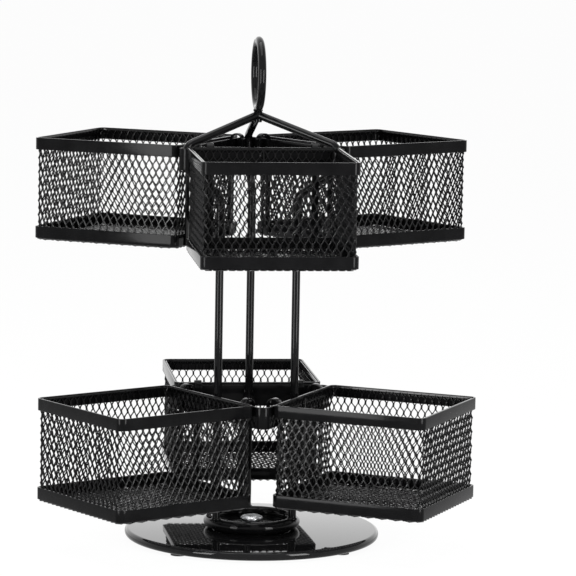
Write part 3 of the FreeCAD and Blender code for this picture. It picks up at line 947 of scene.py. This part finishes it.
@dataclass
class ExpandedMesh:
    """Expanded metal: thin strands that meet in tall knuckles and lean like shingles.

    The limits on_axis, short_of_next and halfway tell a hole's corners apart, in half cells.
    """

    cell_width: float = 4.45 * MM
    cell_height: float = 8.4 * MM
    strand: float = 0.8 * MM
    knuckle_width: float = 1.05 * MM
    knuckle_height: float = 2.1 * MM
    knuckle_side: float = 0.9 * MM
    corner_cut: float = 0.3 * MM
    lean: float = 0.38 * MM
    thickness: float = 0.5 * MM
    floor_thickness: float = 0.8 * MM
    on_axis: float = 0.01
    short_of_next: float = 0.98
    halfway: float = 0.5
    doubles: float = 0.01 * MM

    def sheet(self, name: str, width: float, height: float, ragged: bool) -> Piece:
        """Model a flat sheet in the plane z = 0, its lower left corner at the origin.

        Args:
            name: The sheet's name.
            width: Its width.
            height: Its height.
            ragged: Whether the cut edge keeps the points of the diamonds.

        Returns:
            The sheet, with no thickness yet.
        """
        columns = round(width / self.cell_width)
        rows = round(height / self.cell_height)
        bench = Bench(name)
        bench.start(
            bpy.ops.mesh.primitive_grid_add, size=1.0, x_subdivisions=columns, y_subdivisions=rows,
        )
        shift = Matrix.Translation(Vector((0.5, 0.5, 0.0)))
        bench.place(Matrix.Diagonal((width, height, 1.0, 1.0)) @ shift)
        bpy.ops.mesh.poke()
        bench.pick(Element.EDGE, self._is_square_edge)
        bpy.ops.mesh.dissolve_edges(use_verts=False)
        if ragged:
            bench.pick(Element.FACE, lambda face: len(face.verts) == 3)
            bpy.ops.mesh.delete(type="FACE")
        bench.pick(Element.FACE, lambda face: True)
        bpy.ops.mesh.inset(thickness=self.strand / 2, use_individual=True)
        bpy.ops.mesh.delete(type="ONLY_FACE")
        self._open_up(bench, Vector((width / columns / 2, height / rows / 2)))
        return bench.done(recalculate=False)

    def _open_up(self, bench: Bench, half: Vector) -> None:
        """Turn the diamond holes into six-sided ones between tall knuckles, and lean the strands.

        Args:
            bench: The bench that holds the sheet.
            half: Half the width and height of a cell.
        """

        def at_side(vert: bmesh.types.BMVert) -> bool:
            """Say whether a point is the left or right corner of a hole."""
            across, up = self._from_hole(vert.co, half)
            return self._is_corner(up, across)

        bench.pick(Element.VERT, at_side)
        bpy.ops.mesh.bevel(affect="VERTICES", offset=self.corner_cut, segments=1)
        mesh = bench.mesh()
        for vert in mesh.verts:
            across, up = self._from_hole(vert.co, half)
            middle = Vector((vert.co.x - across * half.x, vert.co.y - up * half.y))
            if self._is_corner(across, up):
                side = 0.0
                rise = half.y - self.knuckle_height / 2
            elif self.on_axis < abs(up) < self.halfway:
                side = half.x - self.knuckle_width / 2
                rise = self.knuckle_side
            else:
                continue
            over = 1.0 if up > 0 else -1.0
            beside = 1.0 if across > 0 else -1.0
            lean = self.lean * over if side else -self.lean * over
            vert.co = (middle.x + side * beside, middle.y + rise * over, lean)
        bmesh.update_edit_mesh(bench.piece.data)

    def _is_corner(self, beside: float, along: float) -> bool:
        """Say whether a point, measured in half cells, lies on an axis of a hole and not at its end."""
        return abs(beside) < self.on_axis and abs(along) < self.short_of_next

    @staticmethod
    def _from_hole(spot: Vector, half: Vector) -> tuple[float, float]:
        """Measure a point from the middle of the hole next to it.

        Args:
            spot: The point.
            half: Half the width and height of a cell.

        Returns:
            How far across and up it is, in half cells.
        """
        across, up = spot.x / half.x, spot.y / half.y
        near = [
            (across - column, up - row)
            for column in range(int(across) - 1, int(across) + 3)
            for row in range(int(up) - 1, int(up) + 3)
            if (column + row) % 2
        ]
        return min(near, key=lambda way: abs(way[0]) + abs(way[1]))

    def _is_square_edge(self, edge: bmesh.types.BMEdge) -> bool:
        """Say whether an edge is an inner one of the first square grid."""
        run = edge.verts[1].co - edge.verts[0].co
        return not edge.is_boundary and min(abs(run.x), abs(run.y)) < self.doubles


@dataclass
class MeshBasket:
    """One lift-off basket: mesh walls and floor, two strip rims and two hooked straps."""

    rim_thickness: float = 1.2 * MM
    rim_corner: float = 4.2 * MM
    rim_edge: float = 0.3 * MM
    strap_width: float = 4.2 * MM
    strap_thickness: float = 1.0 * MM
    strap_edge: float = 0.28 * MM
    hook_leg: float = 13 * MM
    hook_steps: int = 20
    rim_steps: int = 10
    wall_gap: float = 0.05 * MM
    past_start: float = 1e-7
    mesh_crease: float = 40.0
    mesh_metal: ExpandedMesh = field(default_factory=ExpandedMesh)

    def __post_init__(self) -> None:
        """Read the basket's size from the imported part's front basket."""
        self.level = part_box("upper_band")[1].z
        low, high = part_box("upper_front_top_rim")
        self.half_width = (high.x - low.x) / 2
        self.near = -high.y
        self.far = -low.y
        self.rim_height = high.z - low.z
        self.rim_tops = {
            "top_rim": high.z - self.level,
            "bottom_rim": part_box("upper_front_bottom_rim")[1].z - self.level,
        }
        self.floor = [corner - UP * self.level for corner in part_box("upper_front_mesh_floor")]
        self.walls = [corner - UP * self.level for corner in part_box("upper_front_mesh_walls")]
        self.straps = [corner - UP * self.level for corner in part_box("upper_front_hook_straps")]

    def loop(self, inset: float) -> RoundedLoop:
        """Give the basket's outline, moved inwards by an inset."""
        return RoundedLoop(
            self.half_width - inset, self.near + inset, self.far - inset, self.rim_corner - inset,
        )

    def rim(self, name: str) -> Piece:
        """Model one strip rim.

        Args:
            name: Which rim.

        Returns:
            The rim.
        """
        line = self.loop(self.rim_thickness / 2)
        bench = Bench(name)
        start = line.point(0.0)[0] + UP * (self.rim_tops[name] - self.rim_height)
        bench.line(start, start + UP * self.rim_height)
        distance = 0.0
        for length, _, bend in line.stretches():
            here, outward = line.point(distance + self.past_start)
            there = line.point(distance + length)[0]
            if bend:
                bench.turn(here - outward * line.bend, UP, pi / 2, self.rim_steps)
            else:
                bench.draw_out(there - here)
            distance += length
        rim = bench.done()
        Workshop.thicken(rim, self.rim_thickness, self.rim_edge)
        Workshop.smooth(rim)
        return rim

    def mesh_walls(self) -> Piece:
        """Model the mesh walls as one sheet wrapped round inside the rims.

        Returns:
            The walls.
        """
        metal = self.mesh_metal
        line = self.loop(self.rim_thickness + metal.lean + metal.thickness / 2 + self.wall_gap)
        low, high = self.walls[0].z, self.walls[1].z
        sheet = metal.sheet("mesh_walls", line.length(), high - low, ragged=False)
        for vert in sheet.data.vertices:
            spot, outward = line.point(min(max(vert.co.x, 0.0), line.length()))
            vert.co = spot + outward * vert.co.z + UP * (low + vert.co.y)
        return self._finish_mesh(sheet, metal.thickness)

    def mesh_floor(self) -> Piece:
        """Model the mesh floor under the bottom rim, its cut points showing round the edge.

        Returns:
            The floor.
        """
        low, high = self.floor
        middle = (low.z + high.z) / 2
        sheet = self.mesh_metal.sheet("mesh_floor", high.x - low.x, high.y - low.y, ragged=True)
        for vert in sheet.data.vertices:
            vert.co = Vector((low.x + vert.co.x, low.y + vert.co.y, middle + vert.co.z))
        return self._finish_mesh(sheet, self.mesh_metal.floor_thickness)

    def _finish_mesh(self, sheet: Piece, thickness: float) -> Piece:
        """Close a sheet's seam and give its strands their thickness.

        Args:
            sheet: The sheet.
            thickness: The strands' thickness.

        Returns:
            The sheet.
        """
        Workshop.select(sheet)
        bpy.ops.object.mode_set(mode="EDIT")
        bpy.ops.mesh.select_all(action="SELECT")
        bpy.ops.mesh.remove_doubles(threshold=self.mesh_metal.doubles)
        bpy.ops.object.mode_set(mode="OBJECT")
        Workshop.thicken(sheet, thickness, 0.0)
        Workshop.smooth(sheet, self.mesh_crease)
        return sheet

    def hook_straps(self) -> Piece:
        """Model the two straps, each rolled over into a hook.

        Returns:
            The straps.
        """
        low, high = self.straps
        roll = (high.y - low.y) / 2 - self.strap_thickness / 2
        centre_y = (high.y + low.y) / 2
        centre_z = high.z - roll - self.strap_thickness / 2
        bench = Bench("hook_straps")
        for outer in (low.x, high.x - self.strap_width):
            first = Vector((outer, centre_y - roll, low.z))
            bench.line(first, first + Vector((self.strap_width, 0.0, 0.0)))
            bench.draw_out(UP * (centre_z - low.z))
            bench.turn(Vector((0.0, centre_y, centre_z)), Vector((-1.0, 0.0, 0.0)), pi, self.hook_steps)
            bench.draw_out(UP * -self.hook_leg)
        straps = bench.done()
        Workshop.thicken(straps, self.strap_thickness, self.strap_edge)
        Workshop.smooth(straps)
        return straps

    def dress(self) -> None:
        """Build one basket, hang a copy at every place and finish the copies."""
        pieces = {
            "mesh_walls": (self.mesh_walls(), MESH_ENAMEL),
            "mesh_floor": (self.mesh_floor(), POOLED_ENAMEL),
            "top_rim": (self.rim("top_rim"), STRIP_ENAMEL),
            "bottom_rim": (self.rim("bottom_rim"), STRIP_ENAMEL),
            "hook_straps": (self.hook_straps(), STRIP_ENAMEL),
        }
        for place in Place:
            hang = raised(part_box(place.band)[1].z) @ turn_about_axis(place.value)
            for name, (piece, finish) in pieces.items():
                node = f"{place.name}_{name}"
                copy = Workshop.turned_copy(piece, node + "_visual", hang)
                Workshop.dress(copy, finish, place.name + "_basket", node)
        for piece, _ in pieces.values():
            bpy.data.objects.remove(piece)


@dataclass(frozen=True)
class Lamp:
    """A soft lamp: a lit rectangle that faces the caddy, with its power in watts."""

    name: str
    place: tuple[float, float, float]
    width: float
    height: float
    power: float

    def hang(self, target: Vector) -> None:
        """Hang the lamp out of the camera's sight.

        Args:
            target: The point that it faces.
        """
        light = bpy.data.lights.new(self.name, "AREA")
        light.shape = "RECTANGLE"
        light.size = self.width
        light.size_y = self.height
        light.energy = self.power
        holder = bpy.data.objects.new(self.name, light)
        holder.location = self.place
        holder.rotation_euler = (target - holder.location).to_track_quat("-Z", "Y").to_euler()
        holder.visible_camera = False
        bpy.context.collection.objects.link(holder)


@dataclass
class Studio:
    """White floor, soft lamps, surroundings and the camera of the photograph."""

    image: float = 576.0
    focal_pixels: float = 3393.0
    sensor: float = 36.0
    distance: float = 1.989
    elevation: float = 7.44
    yaw: float = -6.3
    roll: float = 0.91
    target: Vector = field(default_factory=lambda: Vector((0.0, 0.0, 0.150)))
    target_pixel: tuple[float, float] = (255.3, 286.3)
    sight: float = 100.0
    floor_size: float = 40.0
    floor_grey: float = 0.86
    floor_white: float = 0.95
    front_light: float = 0.18
    front_white: float = 1.0
    back_light: float = 1.8
    light_span: tuple[float, float] = (-0.1, 0.9)
    lamps: tuple[Lamp, ...] = (
        Lamp("left_strip", (-0.485, -0.432, 0.22), 0.20, 0.42, 3.8),
        Lamp("right_strip", (0.379, -0.528, 0.22), 0.20, 0.42, 4.6),
        Lamp("top_box", (-0.1, 0.0, 1.5), 1.3, 1.0, 16.0),
    )

    def build(self) -> None:
        """Set up the whole studio."""
        bpy.context.scene.view_settings.view_transform = "Standard"
        self._floor()
        self._surroundings()
        for lamp in self.lamps:
            lamp.hang(self.target)
        self._camera()

    def _floor(self) -> None:
        """Lay the floor, white to the eye and shaded where the caddy stands."""
        bpy.ops.object.select_all(action="DESELECT")
        bpy.ops.mesh.primitive_plane_add(size=self.floor_size)
        floor = bpy.context.object
        floor.name = "studio_floor"
        white = bpy.data.materials.new("studio_white")
        white.use_nodes = True
        board = NodeBoard(white.node_tree)
        matt = board.add("BsdfDiffuse", _Color=(*(self.floor_grey,) * 3, 1.0))
        glow = board.add("Emission", _Color=(1.0, 1.0, 1.0, 1.0), _Strength=1.0)
        mix = board.add("MixShader")
        share = board.add("Math", operation="MULTIPLY")
        share.inputs[1].default_value = self.floor_white
        output = board.add("OutputMaterial")
        board.link(self._seen(board), share.inputs[0])
        board.link(share.outputs[0], mix.inputs["Fac"])
        board.link(matt.outputs[0], mix.inputs[1])
        board.link(glow.outputs[0], mix.inputs[2])
        board.link(mix.outputs[0], output.inputs["Surface"])
        floor.data.materials.append(white)

    def _surroundings(self) -> None:
        """Make the surroundings white to the eye and in the gloss, and light the caddy from behind."""
        world = bpy.data.worlds.new("studio")
        world.use_nodes = True
        bpy.context.scene.world = world
        board = NodeBoard(world.node_tree)
        way = board.add("TexCoord").outputs["Generated"]
        parts = board.add("SeparateXYZ")
        board.link(way, parts.inputs["Vector"])
        mix = board.add("Mix", data_type="FLOAT")
        board.link(self._seen(board), mix.inputs["Factor"])
        for name, front in (("A", self.front_light), ("B", self.front_white)):
            level = board.add(
                "MapRange", interpolation_type="SMOOTHSTEP", _From_Min=self.light_span[0],
                _From_Max=self.light_span[1], _To_Min=front, _To_Max=self.back_light,
            )
            board.link(parts.outputs["Y"], level.inputs["Value"])
            board.link(level.outputs["Result"], mix.inputs[name])
        light = board.add("Background", _Color=(1.0, 1.0, 1.0, 1.0))
        output = board.add("OutputWorld")
        board.link(mix.outputs["Result"], light.inputs["Strength"])
        board.link(light.outputs["Background"], output.inputs["Surface"])

    @staticmethod
    def _seen(board: NodeBoard) -> Socket:
        """Tell the rays of the eye, of gloss and of glass from those that only light.

        Args:
            board: The nodes of the floor or of the surroundings.

        Returns:
            A socket that is 1 for a ray that shows the background.
        """
        rays = board.add("LightPath")
        shown = rays.outputs["Is Camera Ray"]
        for name in ("Is Glossy Ray", "Is Transmission Ray"):
            either = board.add("Math", operation="MAXIMUM")
            board.link(shown, either.inputs[0])
            board.link(rays.outputs[name], either.inputs[1])
            shown = either.outputs[0]
        return shown

    def _camera(self) -> None:
        """Set the camera where the photograph was taken from."""
        lift = radians(self.elevation)
        turn = Matrix.Rotation(radians(self.yaw), 3, "Z")
        back = turn @ Vector((0.0, -cos(lift), sin(lift)))
        right = turn @ Vector((1.0, 0.0, 0.0))
        top = back.cross(right)
        tilt = radians(self.roll)
        leaning_right = right * cos(tilt) + top * sin(tilt)
        leaning_top = top * cos(tilt) - right * sin(tilt)
        lens = bpy.data.cameras.new("camera")
        lens.sensor_width = self.sensor
        lens.lens = self.focal_pixels / self.image * self.sensor
        lens.shift_x = (self.image / 2 - self.target_pixel[0]) / self.image
        lens.shift_y = (self.target_pixel[1] - self.image / 2) / self.image
        lens.clip_end = self.sight
        camera = bpy.data.objects.new("camera", lens)
        frame = Matrix((leaning_right, leaning_top, back)).transposed().to_4x4()
        camera.matrix_world = Matrix.Translation(self.target + back * self.distance) @ frame
        bpy.context.collection.objects.link(camera)
        bpy.context.scene.camera = camera


def main() -> None:
    """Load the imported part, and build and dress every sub-assembly."""
    logging.basicConfig(level=logging.INFO, format="%(name)s %(message)s")
    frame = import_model()
    BasePlate().dress()
    Pivot().dress(frame["nodes"])
    Turntable().dress()
    WireFrame().dress()
    StripBands().dress()
    LiftingRing().dress()
    MeshBasket().dress()
    Studio().build()


if __name__ == "__main__":
    main()
